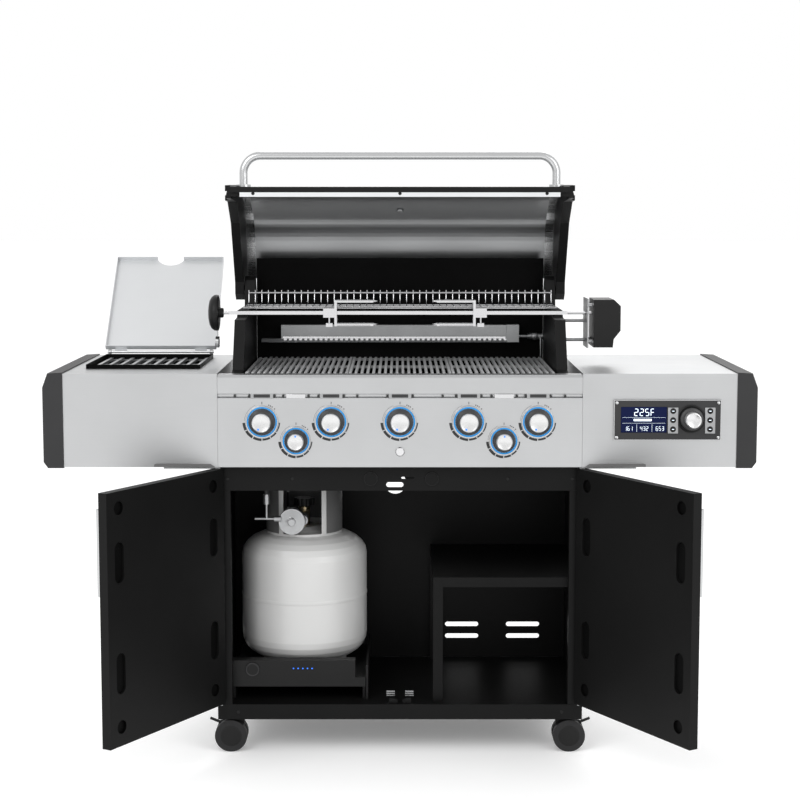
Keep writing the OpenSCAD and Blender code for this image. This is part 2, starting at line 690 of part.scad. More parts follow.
// The side burner: a pressed bowl under the shelf top, its burner head and its bar grate.
module side_burner() color("#b4b6b9") in_frame() {
    difference() {
        block([side_x0 + 0.5, side_d0 + 0.5, 838], [side_x1 - 0.5, side_d1 - 0.5, shelf_z]);
        block([side_x0 + 3, side_d0 + 3, 840], [side_x1 - 3, side_d1 - 3, shelf_z + 1]);
    }
    x = (side_x0 + side_x1) / 2;
    d = (side_d0 + side_d1) / 2;
    bar_z(x, d, 760, 866, 9);
    bar_z(x, d, 839, 866, 32);
    bar_z(x, d, 865, 878, 44);
    for (dc = [side_d0 + 2, d, side_d1 - 10]) block([side_x0 + 2, dc, 892], [side_x1 - 2, dc + 7, 897]);
    for (i = [0:9])
        translate([side_x0 + 14 + i * (side_x1 - side_x0 - 36) / 9, 0, 0])
            block([0, side_d0 + 4, 894], [8, side_d1 - 5, 901]);
}

// The side burner's lid, hinged at its back edge and leaning back in the rest pose.
module side_lid() color("#eceded") in_frame()
    translate([(side_x0 + side_x1) / 2, side_hinge[0], side_hinge[1]]) rotate([side_lean, 0, 0]) {
        half = (side_x1 - side_x0) / 2 + 2;
        difference() {
            block([-half, 10, -2], [half, side_lid_len, 12]);
            block([-half + 2, 12, 0], [half - 2, side_lid_len - 2, 13]);
            bar_z(0, side_lid_len + 19, -3, 13, 40);
        }
        bar_x(-half + 6, half - 6, 0, 0, 3.5);
        for (x = [-half + 24, half - 54]) block([x, 0, -2], [x + 30, 11, 1]);
    }

// ---------- electronic control ----------

// A shallow box let into the right shelf's face, with recesses for the screen and the keys.
module controller() color("#3b3b3c") in_frame() {
    difference() {
        union() {
            block([492, -6, 749], [735, 0, 839]);
            block([507, -1, 759], [720, 40, 823]);
        }
        block([506, -7, 764], [613, -4.5, 825]);
        for (x = [626, 711]) for (z = [773, 794, 815]) bar_y(x, -7, -5, z, 5.5);
        bar_y(dial_x, -7, 10, dial_z, 3.06);
    }
    for (x = [497, 730]) for (z = [754, 834]) bar_y(x, -8, -5.9, z, 3);
}

// The dial of the electronic control, with its shaft.
module control_dial() color("#d9d9d9") in_frame() {
    bar_y(dial_x, -18, -6.4, dial_z, 26);
    bar_y(dial_x, -46, -18, dial_z, 18);
    bar_y(dial_x, -7, 9, dial_z, 3);
}

base_frame();
side_panels();
back_panel();
front_rail();
inner_shelf();
hinge_pins();
door_left();
door_right();
door_handle_left();
door_handle_right();
fork_fl();
fork_fr();
fork_bl();
fork_br();
wheel_fl();
wheel_fr();
wheel_bl();
wheel_br();
brake_left();
brake_right();
tank_scale();
tank_body();
tank_valve();
tank_handwheel();
regulator();
gas_hoses();
control_panel();
knob_1();
knob_2();
knob_3();
knob_4();
knob_5();
small_knob_1();
small_knob_2();
firebox_shell();
firebox_sides();
cooking_grates();
heat_shields();
burners();
warming_rack();
rear_burner();
drip_tray();
spit_rod();
spit_forks();
spit_handle();
motor_housing();
motor_bracket();
motor_switch();
lid_shell();
lid_liner();
lid_caps();
lid_handle();
thermometer();
side_shelf_left();
side_shelf_right();
shelf_caps();
side_burner();
side_lid();
controller();
control_dial();
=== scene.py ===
"""Looks for the gas barbecue grill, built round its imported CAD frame. Metres, +Z up, the panel faces -Y."""
import math

import bmesh
import bpy
from mathutils import Matrix, Vector


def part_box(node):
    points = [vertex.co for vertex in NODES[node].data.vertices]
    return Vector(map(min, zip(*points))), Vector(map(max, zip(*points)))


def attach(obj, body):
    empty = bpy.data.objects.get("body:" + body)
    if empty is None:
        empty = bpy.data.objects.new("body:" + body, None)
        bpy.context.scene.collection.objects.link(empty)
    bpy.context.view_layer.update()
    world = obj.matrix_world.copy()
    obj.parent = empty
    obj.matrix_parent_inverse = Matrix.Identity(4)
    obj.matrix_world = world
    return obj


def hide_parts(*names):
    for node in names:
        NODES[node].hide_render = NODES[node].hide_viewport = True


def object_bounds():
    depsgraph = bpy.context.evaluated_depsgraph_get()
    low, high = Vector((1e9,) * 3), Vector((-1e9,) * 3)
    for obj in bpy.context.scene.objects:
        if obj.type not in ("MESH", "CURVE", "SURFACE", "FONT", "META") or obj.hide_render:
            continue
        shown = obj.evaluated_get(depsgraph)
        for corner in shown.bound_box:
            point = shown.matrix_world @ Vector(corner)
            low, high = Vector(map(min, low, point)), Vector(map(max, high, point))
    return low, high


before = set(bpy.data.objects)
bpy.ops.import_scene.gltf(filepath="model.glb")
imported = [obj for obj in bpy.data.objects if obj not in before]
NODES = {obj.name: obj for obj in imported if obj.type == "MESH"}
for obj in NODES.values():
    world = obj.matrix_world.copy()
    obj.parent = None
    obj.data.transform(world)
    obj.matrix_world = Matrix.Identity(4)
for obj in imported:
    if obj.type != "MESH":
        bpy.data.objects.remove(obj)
cad_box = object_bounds()
MM = 0.001

# ---------- places worked out from the frame ----------

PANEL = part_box("control_panel")
FACE_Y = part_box("side_shelf_left")[0].y
SHELF_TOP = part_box("side_shelf_left")[1].z
HALF_WIDTH = cad_box[1][0]


def middle(node):
    """The middle of a CAD node's box."""
    low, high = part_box(node)
    return (low + high) / 2


def depth(mm):
    """Y of a place that many millimetres behind the control panel's face."""
    return FACE_Y + mm * MM


SPIT_AXIS = Vector((0, depth(215), 1.027))
HINGE_X = 0.421
HINGE_Y = depth(11)
DOOR_OPEN_DEGREES = 120
THERMOMETER_PLACE = Vector((0, depth(447), 1.288))
THERMOMETER_TILT = math.radians(-26.3)

# ---------- camera ----------

CAMERA_DISTANCE = 4.1
CAMERA_HEIGHT = 1.285
CAMERA_PITCH = 6.2
LENS = 80.9


def add_camera():
    """One long lens on the grill's middle plane, a little above the shelves and tilted down."""
    data = bpy.data.cameras.new("camera")
    data.lens = LENS
    data.sensor_width = 36
    cam = bpy.data.objects.new("camera", data)
    cam.location = (0, FACE_Y - CAMERA_DISTANCE, CAMERA_HEIGHT)
    cam.rotation_euler = (math.radians(90 - CAMERA_PITCH), 0, 0)
    bpy.context.scene.collection.objects.link(cam)
    bpy.context.scene.camera = cam


# ---------- materials ----------

def new_material(name):
    """An empty node material with its shader wired to the output."""
    mat = bpy.data.materials.new(name)
    mat.use_nodes = True
    nodes = mat.node_tree.nodes
    nodes.clear()
    out = nodes.new("ShaderNodeOutputMaterial")
    shader = nodes.new("ShaderNodeBsdfPrincipled")
    mat.node_tree.links.new(shader.outputs[0], out.inputs[0])
    return mat, nodes, mat.node_tree.links, shader


EVEN = (1, 1, 1)


def noise(nodes, links, scale, stretch=EVEN, detail=3.0):
    """Noise in object space, stretched along the axes by the given factors."""
    coord = nodes.new("ShaderNodeTexCoord")
    mapping = nodes.new("ShaderNodeMapping")
    mapping.inputs["Scale"].default_value = stretch
    tex = nodes.new("ShaderNodeTexNoise")
    tex.inputs["Scale"].default_value = scale
    tex.inputs["Detail"].default_value = detail
    links.new(coord.outputs["Object"], mapping.inputs[0])
    links.new(mapping.outputs[0], tex.inputs["Vector"])
    return tex.outputs["Fac"]


def ramp(nodes, links, fac, low, high, start=0.3, end=0.7):
    """Colours or numbers between low and high as fac goes from start to end."""
    node = nodes.new("ShaderNodeValToRGB")
    node.color_ramp.elements[0].position = start
    node.color_ramp.elements[1].position = end
    for element, value in zip(node.color_ramp.elements, (low, high)):
        element.color = (*value, 1) if isinstance(value, tuple) else (value, value, value, 1)
    links.new(fac, node.inputs[0])
    return node.outputs[0]


def bump(nodes, links, height, shader, strength, distance):
    """Relief of that strength and height in metres, from a grey pattern."""
    node = nodes.new("ShaderNodeBump")
    node.inputs["Strength"].default_value = strength
    node.inputs["Distance"].default_value = distance
    links.new(height, node.inputs["Height"])
    links.new(node.outputs[0], shader.inputs["Normal"])


def shade(color, factor):
    """The colour made lighter or darker, kept within 1."""
    return tuple(min(1.0, c * factor) for c in color)


def surface(name, color, rough, metal=0.0, vary=0.08, grain=900, stretch=EVEN, relief=0.15,
            relief_mm=0.1, spread=0.06, coat=0.0, specular=0.5, blotch=6):
    """A finish with slow colour variation, a fine grain in its roughness, and the grain's relief."""
    mat, nodes, links, shader = new_material(name)
    slow = noise(nodes, links, blotch, detail=4)
    tint = ramp(nodes, links, slow, shade(color, 1 - vary), shade(color, 1 + vary))
    links.new(tint, shader.inputs["Base Color"])
    fine = noise(nodes, links, grain, stretch, detail=2)
    links.new(ramp(nodes, links, fine, max(0.02, rough - spread), rough + spread), shader.inputs["Roughness"])
    bump(nodes, links, fine, shader, relief, relief_mm * MM)
    shader.inputs["Metallic"].default_value = metal
    shader.inputs["Coat Weight"].default_value = coat
    shader.inputs["Specular IOR Level"].default_value = specular
    return mat


def glow(name, color, strength):
    """A lit plastic, a little uneven along its length."""
    mat, nodes, links, shader = new_material(name)
    slow = noise(nodes, links, 40)
    tint = ramp(nodes, links, slow, shade(color, 0.85), color)
    links.new(tint, shader.inputs["Base Color"])
    links.new(tint, shader.inputs["Emission Color"])
    shader.inputs["Emission Strength"].default_value = strength
    shader.inputs["Roughness"].default_value = 0.35
    return mat


BRUSHED_X = (0.012, 1, 1)
M = {
    "steel": surface("brushed_steel", (0.47, 0.475, 0.48), 0.36, 1, 0.03, 700, BRUSHED_X, 0.12, 0.05, 0.07),
    "steel_lid": surface("polished_steel", (0.50, 0.505, 0.51), 0.24, 1, 0.02, 700, BRUSHED_X, 0.06, 0.04, 0.04),
    # The lid's liner: the same stainless steel in a darker copy, painted shade for the lid's inside.
    "liner": surface("lid_liner_painted_shade_steel", (0.36, 0.365, 0.37), 0.33, 1, 0.03, 900, BRUSHED_X, 0.02, 0.02, 0.03,
                     blotch=2),
    # A lighter copy of the stainless steel: painted highlight, used on the side burner's lid and the lid's front
    # strip.
    "painted_highlight_steel": surface("steel_painted_highlight", (0.66, 0.67, 0.68), 0.38, 0.75, 0.02, 600, BRUSHED_X,
                           0.08, 0.04, 0.05),
    "chrome": surface("chromed_wire", (0.68, 0.68, 0.69), 0.16, 1, 0.03, 500, EVEN, 0.04, 0.03, 0.04),
    "powder": surface("black_powder_coat", (0.006, 0.006, 0.006), 0.40, 0, 0.10, 1500, EVEN, 0.20, 0.08, 0.06,
                      specular=0.10),
    "casting": surface("black_casting", (0.006, 0.006, 0.006), 0.46, 0, 0.16, 700, EVEN, 0.35, 0.25, 0.10,
                       specular=0.14),
    "enamel": surface("firebox_enamel", (0.003, 0.003, 0.003), 0.45, 0, 0.20, 300, EVEN, 0.25, 0.20, 0.10,
                      specular=0.03),
    "cap": surface("cap_paint", (0.028, 0.028, 0.029), 0.50, 0, 0.07, 1400, EVEN, 0.40, 0.15, 0.07,
                   specular=0.20),
    "plastic": surface("black_plastic", (0.010, 0.010, 0.010), 0.42, 0, 0.08, 1700, EVEN, 0.30, 0.10, 0.05,
                       specular=0.18),
    "bezel": surface("control_bezel", (0.030, 0.030, 0.031), 0.40, 0, 0.06, 1500, EVEN, 0.20, 0.08, 0.05,
                     specular=0.25),
    "rubber": surface("hose_rubber", (0.020, 0.020, 0.020), 0.60, 0, 0.15, 500, EVEN, 0.40, 0.20, 0.08),
    "tread": surface("caster_tread", (0.018, 0.018, 0.0185), 0.55, 0, 0.10, 900, EVEN, 0.30, 0.15, 0.08,
                     specular=0.2),
    "tank": surface("cylinder_paint", (0.56, 0.56, 0.555), 0.36, 0, 0.03, 90, EVEN, 0.18, 0.25, 0.06, 0.25),
    "collar": surface("collar_paint", (0.11, 0.11, 0.11), 0.45, 0, 0.06, 200, EVEN, 0.18, 0.20, 0.06),
    "brass": surface("brass", (0.48, 0.40, 0.26), 0.34, 1, 0.10, 400, EVEN, 0.20, 0.10, 0.08),
    "zinc": surface("plated_steel", (0.36, 0.365, 0.37), 0.38, 1, 0.10, 300, EVEN, 0.20, 0.12, 0.10),
    "grate": surface("grate_bars", (0.46, 0.465, 0.47), 0.45, 0.25, 0.14, 260, EVEN, 0.35, 0.30, 0.12),
    "knob": surface("knob_face", (0.62, 0.62, 0.62), 0.30, 0.8, 0.02, 900, EVEN, 0.10, 0.05, 0.05),
    "skirt": surface("knob_skirt", (0.030, 0.030, 0.031), 0.42, 0, 0.08, 1400, EVEN, 0.25, 0.08, 0.06),
    "ink": surface("printed_ink", (0.010, 0.010, 0.010), 0.55, 0, 0.10, 900, EVEN, 0.10, 0.03, 0.05),
    "red": surface("red_switch", (0.52, 0.03, 0.02), 0.35, 0, 0.06, 900, EVEN, 0.15, 0.05, 0.05),
    "screen": surface("screen_glass", (0.002, 0.006, 0.040), 0.22, 0, 0.10, 300, EVEN, 0.03, 0.02, 0.03,
                      specular=0.12),
    "ring": glow("ring_light", (0.01, 0.22, 0.55), 0.55),
    "digit": glow("display_digit", (0.80, 0.90, 1.00), 1.1),
    "led": glow("blue_led", (0.02, 0.16, 0.85), 1.2),
}

NODE_LOOK = {
    "powder": ["base_frame", "side_panels", "back_panel", "front_rail", "inner_shelf", "door_left", "door_right"],
    "enamel": ["firebox_shell"],
    "casting": ["firebox_sides", "lid_caps"],
    "cap": ["shelf_caps"],
    "steel": ["control_panel", "side_shelf_left", "side_shelf_right", "side_burner"],
    "steel_lid": ["lid_shell", "lid_handle", "door_handle_left", "door_handle_right", "thermometer"],
    "liner": ["lid_liner"],
    "painted_highlight_steel": ["side_lid"],
    "plastic": ["fork_fl", "fork_fr", "fork_bl", "fork_br", "brake_left", "brake_right", "tank_scale",
                "tank_handwheel", "spit_handle", "motor_housing"],
    "bezel": ["controller"],
    "tread": ["wheel_fl", "wheel_fr", "wheel_bl", "wheel_br"],
    "tank": ["tank_body"],
    "brass": ["tank_valve"],
    "zinc": ["regulator", "motor_bracket", "rear_burner", "heat_shields", "burners", "drip_tray", "hinge_pins"],
    "rubber": ["gas_hoses"],
    "chrome": ["spit_rod", "spit_forks", "warming_rack"],
    "grate": ["cooking_grates"],
    "red": ["motor_switch"],
    "knob": ["control_dial"] + [f"knob_{i}" for i in range(1, 6)] + ["small_knob_1", "small_knob_2"],
}
EDGE_MM = {"powder": 1.2, "casting": 2.0, "cap": 2.5, "steel": 0.8, "steel_lid": 0.6, "painted_highlight_steel": 0.5,
           "plastic": 1.6, "bezel": 1.0, "tread": 3.0, "grate": 1.6, "chrome": 0.6, "zinc": 0.5}


def round_edges(obj, width):
    """Rounds the sharp edges of a piece by that width."""
    mod = obj.modifiers.new("edges", "BEVEL")
    mod.width = width
    mod.segments = 2
    mod.limit_method = "ANGLE"
    mod.angle_limit = math.radians(35)


def finish_cad_nodes():
    """Gives every CAD node its material, and rounds its sharp edges."""
    for look, names in NODE_LOOK.items():
        for name in names:
            obj = NODES[name]
            obj.data.materials.clear()
            obj.data.materials.append(M[look])
            if look in EDGE_MM:
                round_edges(obj, EDGE_MM[look] * MM)


# ---------- piece building ----------

def add_piece(name, mesh_or_curve, look, body):
    """Puts a mesh or curve in the scene with that look, riding on that body."""
    obj = bpy.data.objects.new(name, mesh_or_curve)
    bpy.context.scene.collection.objects.link(obj)
    obj.data.materials.append(M[look])
    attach(obj, body)
    return obj


def finish_mesh(name, bm, look, body, bevel=0.0, smooth=True):
    """Turns the built mesh into a piece with that look, riding on that body."""
    bmesh.ops.recalc_face_normals(bm, faces=bm.faces)
    mesh = bpy.data.meshes.new(name)
    bm.to_mesh(mesh)
    bm.free()
    if smooth:
        for face in mesh.polygons:
            face.use_smooth = True
        mesh.set_sharp_from_angle(angle=math.radians(38))
    obj = add_piece(name, mesh, look, body)
    if bevel:
        round_edges(obj, bevel)
    return obj


def lathe(bm, profile, origin, axis="Y", steps=48):
    """Turns a profile of (radius, distance along the axis) round an axis through origin."""
    rings = []
    for radius, along in profile:
        if radius < 1e-6:
            rings.append([bm.verts.new(on_axis(0, 0, along, origin, axis))])
            continue
        angles = [2 * math.pi * k / steps for k in range(steps)]
        rings.append([bm.verts.new(on_axis(radius * math.cos(a), radius * math.sin(a), along, origin, axis))
                      for a in angles])
    for one, two in zip(rings, rings[1:]):
        for k in range(steps):
            corners = [one[k % len(one)], one[(k + 1) % len(one)], two[(k + 1) % len(two)], two[k % len(two)]]
            corners = list(dict.fromkeys(corners))
            if len(corners) > 2:
                bm.faces.new(corners)


def on_axis(u, v, w, origin, axis):
    """A place u, v across the axis and w along it, from origin."""
    place = {"X": (w, u, v), "Y": (u, w, v), "Z": (u, v, w)}[axis]
    return Vector(origin) + Vector(place)


def add_box(bm, low, high):
    """A block between two opposite corners."""
    low, high = Vector(low), Vector(high)
    made = bmesh.ops.create_cube(bm, size=1)["verts"]
    for v in made:
        v.co = Vector([low[i] + (v.co[i] + 0.5) * (high[i] - low[i]) for i in range(3)])


def add_grip_ribs(bm, centre, radius, count, half, front, back):
    """Small ribs round a turned grip that faces -Y."""
    for k in range(count):
        a = 2 * math.pi * k / count
        x = centre.x + math.cos(a) * radius
        z = centre.z + math.sin(a) * radius
        add_box(bm, (x - half, front, z - half), (x + half, back, z + half))


def tube_curve(name, paths, radius, look, body, steps=3):
    """Round wires along open paths of points."""
    curve = bpy.data.curves.new(name, "CURVE")
    curve.dimensions = "3D"
    curve.bevel_depth = radius
    curve.bevel_resolution = steps
    curve.use_fill_caps = True
    for path in paths:
        spline = curve.splines.new("POLY")
        spline.points.add(len(path) - 1)
        for point, place in zip(spline.points, path):
            point.co = (*place, 1)
        spline.use_smooth = True
    return add_piece(name, curve, look, body)


def arc_band(bm, centre, r0, r1, start, end, y, steps=24):
    """A flat ring segment on a face that looks along -Y, angles in degrees from +X towards +Z."""
    points = []
    for k in range(steps + 1):
        a = math.radians(start + (end - start) * k / steps)
        points.append([bm.verts.new((centre[0] + r * math.cos(a), y, centre[1] + r * math.sin(a)))
                       for r in (r0, r1)])
    for one, two in zip(points, points[1:]):
        bm.faces.new((one[0], one[1], two[1], two[0]))


# ---------- control panel ----------

# Each knob's node, its body, and where its pointer stands, clockwise from the top in degrees.
KNOBS = [(f"knob_{i}", f"burner_knob_{i}", 205) for i in range(1, 6)]
KNOBS += [("small_knob_1", "aux_knob_1", 0), ("small_knob_2", "aux_knob_2", 0)]
# The printed scale's arcs: start and end in degrees, and width.
ARCS = ((183, 207, 0.0062), (210, 238, 0.0062), (241, 268, 0.0056), (271, 296, 0.0046), (299, 322, 0.0036),
        (325, 357, 0.0028))


def knob_profile(r, length):
    """Skirt, shoulder and turned face of a knob, from the panel outwards."""
    face = r * 0.72
    skirt = [(0, -0.001), (r, -0.001), (r, -0.0085), (r * 0.97, -0.0105), (r * 0.86, -0.017), (r * 0.80, -0.0195),
             (face + 0.0006, -0.0200)]
    cap = [(face, -0.0190), (face, -(length - 0.0035)), (face * 0.97, -(length - 0.0012)),
           (face * 0.90, -length), (face * 0.86, -length + 0.0005), (0, -length + 0.0009)]
    return skirt, cap


def add_scale(bm, centre, r):
    """The printed arcs and ticks round a knob of radius r."""
    spot = (centre.x, centre.z)
    y = FACE_Y - 0.00025
    for start, end, width in ARCS:
        arc_band(bm, spot, r + 0.0088, r + 0.0088 + width, start, end, y)
    arc_band(bm, spot, r + 0.0105, r + 0.0110, 112, 178, y)
    arc_band(bm, spot, r + 0.0105, r + 0.0165, 89.0, 91.0, y, 2)
    for tick in (66, 60, 54, 44):
        arc_band(bm, spot, r + 0.0105, r + 0.0130, tick, tick + 3.4, y, 2)


def build_knobs():
    """Skirt, face and pointer for each knob, with its ring light, bright trim and printed scale."""
    rings = bmesh.new()
    trims = bmesh.new()
    scale_marks = bmesh.new()
    for node, body, clock in KNOBS:
        low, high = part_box(node)
        centre = middle(node)
        r = (high.x - low.x) / 2
        length = FACE_Y - low.y
        origin = (centre.x, FACE_Y, centre.z)
        skirt, cap = knob_profile(r, length)
        bm = bmesh.new()
        lathe(bm, skirt, origin)
        add_grip_ribs(bm, centre, r - 0.0004, 28, 0.0009, FACE_Y - 0.0086, FACE_Y - 0.0022)
        base = finish_mesh(node + "_skirt", bm, "skirt", body, 0.0003)
        bm = bmesh.new()
        lathe(bm, cap, origin)
        face = finish_mesh(node + "_face", bm, "knob", body, 0.0002)
        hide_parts(node)
        dot = bmesh.new()
        a = math.radians(90 - clock)
        reach = r * 0.52
        place = (centre.x + math.cos(a) * reach, FACE_Y - length, centre.z + math.sin(a) * reach)
        lathe(dot, [(0, 0.0008), (r * 0.075, 0.0008), (r * 0.075, -0.0003), (0, -0.0005)], place, steps=20)
        finish_mesh(node + "_pointer", dot, "led", body)
        lathe(rings, [(r + 0.0012, -0.0030), (r + 0.0022, -0.0040), (r + 0.0038, -0.0040), (r + 0.0044, -0.0030)],
              origin, steps=64)
        lathe(trims, [(r + 0.0044, -0.0030), (r + 0.0050, -0.0042), (r + 0.0070, -0.0038), (r + 0.0080, -0.0001)],
              origin, steps=64)
        add_scale(scale_marks, centre, r)
    finish_mesh("knob_ring_lights", rings, "ring", "cart")
    finish_mesh("knob_ring_trims", trims, "steel_lid", "cart")
    marks = finish_mesh("knob_scale_marks", scale_marks, "ink", "cart", smooth=False)
    marks.modifiers.new("body", "SOLIDIFY").thickness = 0.0002


def build_panel_trim():
    """The row of lit slots, plain slots, and flat black ink discs painted as shade where the small holes under the
    panel's lip show dark.
    """
    bm = bmesh.new()
    z = PANEL[0].z + 0.1645
    y = FACE_Y
    big = [middle(n).x for n, _, _ in KNOBS[:5]]
    small = [middle(n).x for n, _, _ in KNOBS[5:]]
    for x in big:
        add_box(bm, (x - 0.026, y - 0.0006, z - 0.0060), (x + 0.026, y + 0.001, z + 0.0060))
    finish_mesh("panel_slots", bm, "zinc", "cart", 0.0004)
    bm = bmesh.new()
    for x in big:
        add_box(bm, (x - 0.019, y - 0.0010, z - 0.0036), (x + 0.019, y + 0.0005, z + 0.0044))
    finish_mesh("panel_slot_lenses", bm, "bezel", "cart", 0.0008)
    bm = bmesh.new()
    for x in small:
        add_box(bm, (x - 0.022, y - 0.0005, z - 0.0045), (x + 0.022, y + 0.001, z + 0.0045))
    finish_mesh("panel_slot_covers", bm, "chrome", "cart", 0.0004)
    # Black ink discs in place of the small holes: painted shade where the holes show dark.
    bm = bmesh.new()
    spots = []
    for x in big + small:
        spots += [x - 0.029, x + 0.029]
    spots += [PANEL[0].x + 0.04, PANEL[1].x - 0.04, -0.098, 0.098]
    for x in spots:
        lathe(bm, [(0, -0.0010), (0.0024, -0.0010), (0.0030, -0.0004), (0.0030, 0.001)], (x, y, z), steps=14)
    finish_mesh("panel_hole_painted_shade", bm, "ink", "cart")
    bm = bmesh.new()
    lathe(bm, [(0, -0.0050), (0.009, -0.0050), (0.0105, -0.0035), (0.0105, -0.0001)],
          (0, y, PANEL[0].z + 0.036), steps=32)
    finish_mesh("igniter_button", bm, "chrome", "cart")


# ---------- electronic control ----------

SEGMENTS = {"0": "abcdef", "1": "bc", "2": "abged", "3": "abgcd", "4": "fgbc", "5": "afgcd", "6": "afgedc",
            "7": "abc", "8": "abcdefg", "9": "abcdfg", "F": "aefg"}


def add_digit(bm, char, x, z, w, h, y):
    """A seven-segment figure with its lower left corner at x, z."""
    t = w * 0.20
    spots = {"a": (x + t, z + h - t, x + w - t, z + h),
             "g": (x + t, z + h / 2 - t / 2, x + w - t, z + h / 2 + t / 2),
             "d": (x + t, z, x + w - t, z + t), "f": (x, z + h / 2, x + t, z + h - t * 0.5),
             "b": (x + w - t, z + h / 2, x + w, z + h - t * 0.5), "e": (x, z + t * 0.5, x + t, z + h / 2),
             "c": (x + w - t, z + t * 0.5, x + w, z + h / 2)}
    for key in SEGMENTS[char]:
        x0, z0, x1, z1 = spots[key]
        gap = t * 0.12
        add_box(bm, (x0 + gap, y - 0.0002, z0 + gap), (x1 - gap, y, z1 - gap))


def build_screen():
    """The dark glass with its large reading, three small ones, a bar and hairlines."""
    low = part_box("controller")[0]
    y = low.y
    x0 = low.x + 0.015
    z0 = low.z + 0.016
    x1 = x0 + 0.105
    z1 = z0 + 0.059
    bm = bmesh.new()
    add_box(bm, (x0, y + 0.0026, z0), (x1, y + 0.0045, z1))
    finish_mesh("control_screen", bm, "screen", "cart", 0.0004)
    bm = bmesh.new()
    face = y + 0.0025
    for k, char in enumerate("225F"):
        add_digit(bm, char, x0 + 0.030 + 0.0125 * k, z0 + 0.038, 0.0095, 0.0175, face)
    for k, text in enumerate(("161", "432", "653")):
        for j, char in enumerate(text):
            add_digit(bm, char, x0 + 0.008 + 0.036 * k + 0.0068 * j, z0 + 0.004, 0.0050, 0.0105, face)
    add_box(bm, (x0 + 0.029, face - 0.0002, z0 + 0.0265), (x0 + 0.070, face, z0 + 0.0315))
    for x in (x0 + 0.036, x0 + 0.071):
        add_box(bm, (x, face - 0.0002, z0 + 0.002), (x + 0.0004, face, z0 + 0.019))
    for z in (z0 + 0.0215, z0 + 0.0345):
        add_box(bm, (x0 + 0.003, face - 0.0002, z), (x1 - 0.003, face, z + 0.0003))
    finish_mesh("screen_figures", bm, "digit", "cart", smooth=False)


def build_control_border():
    """A bright rim round the control's face, with a screw in each corner."""
    low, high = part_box("controller")
    y = low.y
    rim = 0.0016
    inset = 0.005
    bm = bmesh.new()
    for x in (low.x - rim, high.x):
        add_box(bm, (x, y + 0.001, low.z - rim), (x + rim, y + 0.0055, high.z + rim))
    for z in (low.z - rim, high.z):
        add_box(bm, (low.x, y + 0.001, z), (high.x, y + 0.0055, z + rim))
    for x in (low.x + inset, high.x - inset):
        for z in (low.z + inset, high.z - inset):
            lathe(bm, [(0, -0.0026), (0.0020, -0.0026), (0.0034, -0.0016), (0.0034, 0.0005)], (x, y, z), steps=16)
    finish_mesh("control_border", bm, "steel_lid", "cart")


def build_keypads():
    """A column of three keys on each side of the dial."""
    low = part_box("controller")[0]
    y = low.y
    plate = bmesh.new()
    keys = bmesh.new()
    icons = bmesh.new()
    for x in (low.x + 0.134, low.x + 0.219):
        add_box(plate, (x - 0.012, y - 0.0006, low.z + 0.014), (x + 0.012, y + 0.001, low.z + 0.074))
        for k in range(3):
            z = low.z + 0.024 + 0.021 * k
            lathe(keys, [(0, -0.0018), (0.0058, -0.0018), (0.0068, -0.0010), (0.0068, 0.001)], (x, y, z), steps=24)
            add_box(icons, (x - 0.0026, y - 0.0021, z - 0.0006), (x + 0.0026, y - 0.0018, z + 0.0006))
    finish_mesh("keypad_plates", plate, "zinc", "cart", 0.0008)
    finish_mesh("keypad_keys", keys, "plastic", "cart")
    finish_mesh("keypad_icons", icons, "digit", "cart", smooth=False)


def build_dial():
    """The dial's collar on the box, and its ribbed skirt and bright face."""
    dial = middle("control_dial")
    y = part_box("controller")[0].y
    origin = (dial.x, y, dial.z)
    bm = bmesh.new()
    lathe(bm, [(0.0262, -0.0004), (0.0300, -0.0010), (0.0325, 0.0004), (0.0325, 0.001)], origin, steps=64)
    finish_mesh("dial_collar", bm, "plastic", "cart")
    bm = bmesh.new()
    lathe(bm, [(0, -0.0004), (0.0258, -0.0004), (0.0258, -0.0110), (0.0240, -0.0125), (0.0184, -0.0130)], origin)
    add_grip_ribs(bm, dial, 0.0256, 36, 0.0007, y - 0.0108, y - 0.0015)
    skirt = finish_mesh("dial_skirt", bm, "skirt", "dial", 0.0002)
    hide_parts("control_dial")
    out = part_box("control_dial")[0].y - y
    bm = bmesh.new()
    lathe(bm, [(0.0180, -0.0120), (0.0180, out + 0.0030), (0.0172, out + 0.0008), (0.0155, out),
               (0.0150, out + 0.0004), (0, out + 0.0006)], origin)
    finish_mesh("dial_face", bm, "knob", "dial")


# ---------- cooking zone ----------

def build_warming_rack():
    """Round wires turned up at the back, on three rails and one along their tops."""
    low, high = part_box("warming_rack")
    wires = []
    back = high.y - 0.0022
    count = 47
    for i in range(count):
        x = low.x + 0.0055 + i * (high.x - low.x - 0.011) / (count - 1)
        x = max(low.x + 0.006, min(high.x - 0.006, x))
        wires.append([(x, low.y + 0.002, low.z + 0.0058), (x, back - 0.004, low.z + 0.0058),
                      (x, back, low.z + 0.0095), (x, back, high.z - 0.0015)])
    rack = tube_curve("rack_wires", wires, 0.00125, "chrome", "cart", 2)
    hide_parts("warming_rack")
    rails = [[(low.x + 0.002, y, low.z + 0.0024), (high.x - 0.002, y, low.z + 0.0024)]
             for y in (low.y + 0.003, (low.y + high.y) / 2, high.y - 0.006)]
    rails.append([(x, high.y - 0.0046, high.z - 0.008) for x in (low.x + 0.006, high.x - 0.006)])
    tube_curve("rack_rails", rails, 0.0024, "chrome", "cart", 3)


